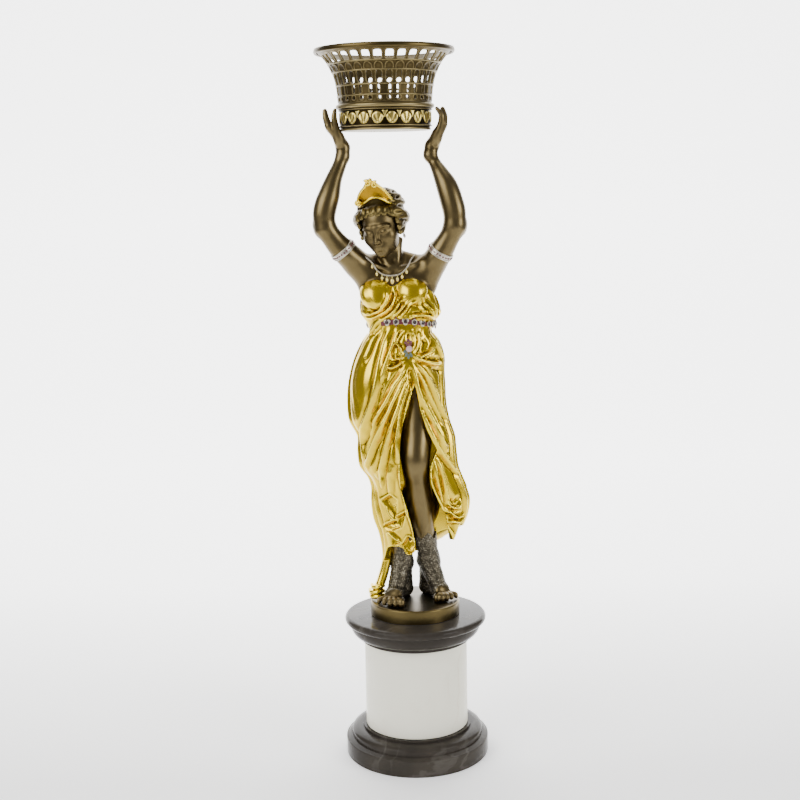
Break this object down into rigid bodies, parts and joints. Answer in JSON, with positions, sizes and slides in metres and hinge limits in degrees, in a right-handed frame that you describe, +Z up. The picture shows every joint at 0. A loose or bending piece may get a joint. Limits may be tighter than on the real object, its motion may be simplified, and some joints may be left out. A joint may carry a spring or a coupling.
{
  "type": "statue with basket on column",
  "caption": "Draped standing figure holding an openwork round basket overhead with both hands, on a low round column of three moulded stone pieces.",
  "frame": {"origin": "centre of the base's round underside, on the surface it stands on", "axes": "+Z up the column, the figure faces -Y, +X is the viewer's right"},
  "size_m": [0.2286, 0.2065, 0.9707],
  "materials": {
    "black_marble": "polished, near black",
    "white_marble": "honed cream white with faint beige veins",
    "bronze": "dark olive brown patina, waxed",
    "gilt": "satin gilding on the gown, diadem and the basket's band",
    "silvering": "cold-painted silver on the jewellery and boots"
  },
  "bodies": {
    "root": {"marble_base": "black_marble", "marble_drum": "white_marble", "marble_slab": "black_marble", "figure_on_terrace": "bronze", "basket": "bronze"}
  },
  "joints": []
}
